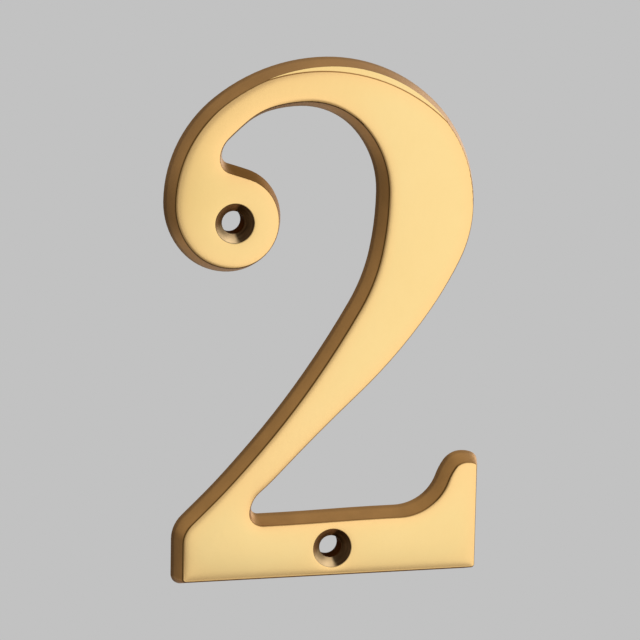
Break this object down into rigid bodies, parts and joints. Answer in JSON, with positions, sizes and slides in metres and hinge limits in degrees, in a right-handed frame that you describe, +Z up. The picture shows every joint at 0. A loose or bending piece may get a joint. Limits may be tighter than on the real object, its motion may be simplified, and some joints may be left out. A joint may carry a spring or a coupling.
{
  "type": "door number",
  "caption": "Cast brass door numeral with drafted walls, a flat polished face, a flat back and countersunk screw holes, screwed flat to a door, gatepost or wall.",
  "frame": {"origin": "on the flat back, at mid-width, on the lower edge of its flat, which is the foot's base line", "axes": "+Z up the figure from foot to crown, +Y out of the back into the door it is screwed to, -Y out of the face, +X to the right as the figure is read"},
  "size_m": [0.0636, 0.005, 0.102],
  "materials": {
    "brass": "polished face under clear lacquer, satin walls"
  },
  "bodies": {
    "root": {"door_number": "brass"}
  },
  "joints": []
}
